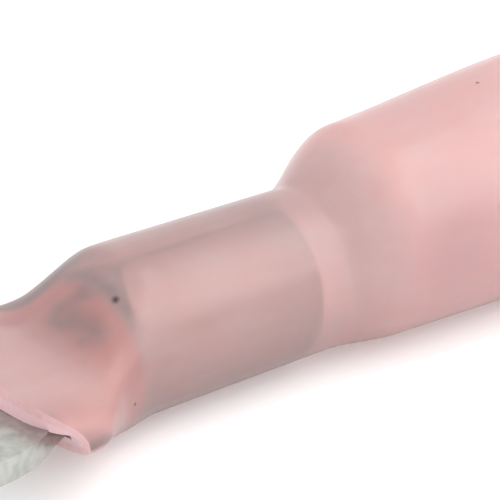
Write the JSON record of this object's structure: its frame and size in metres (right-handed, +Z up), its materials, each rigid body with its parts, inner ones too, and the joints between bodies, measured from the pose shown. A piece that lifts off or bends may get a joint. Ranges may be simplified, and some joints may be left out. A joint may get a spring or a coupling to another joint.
{
  "type": "heat shrink ring terminal",
  "caption": "Insulated ring terminal for thin wire: tinned ring tongue, rolled crimp barrel and a translucent adhesive lined heat shrink sleeve.",
  "frame": {"origin": "centre of the stud hole at the underside of the ring tongue", "axes": "+X runs along the terminal towards the wire entry, +Z is up, square to the ring tongue"},
  "size_m": [0.0308, 0.0086, 0.0064],
  "materials": {
    "tinned_copper": "satin",
    "hot_melt_adhesive": "translucent",
    "pink_polyolefin": "translucent"
  },
  "bodies": {
    "root": {"ring_terminal": "tinned_copper", "adhesive_lining": "hot_melt_adhesive", "heat_shrink_sleeve": "pink_polyolefin"}
  },
  "joints": []
}
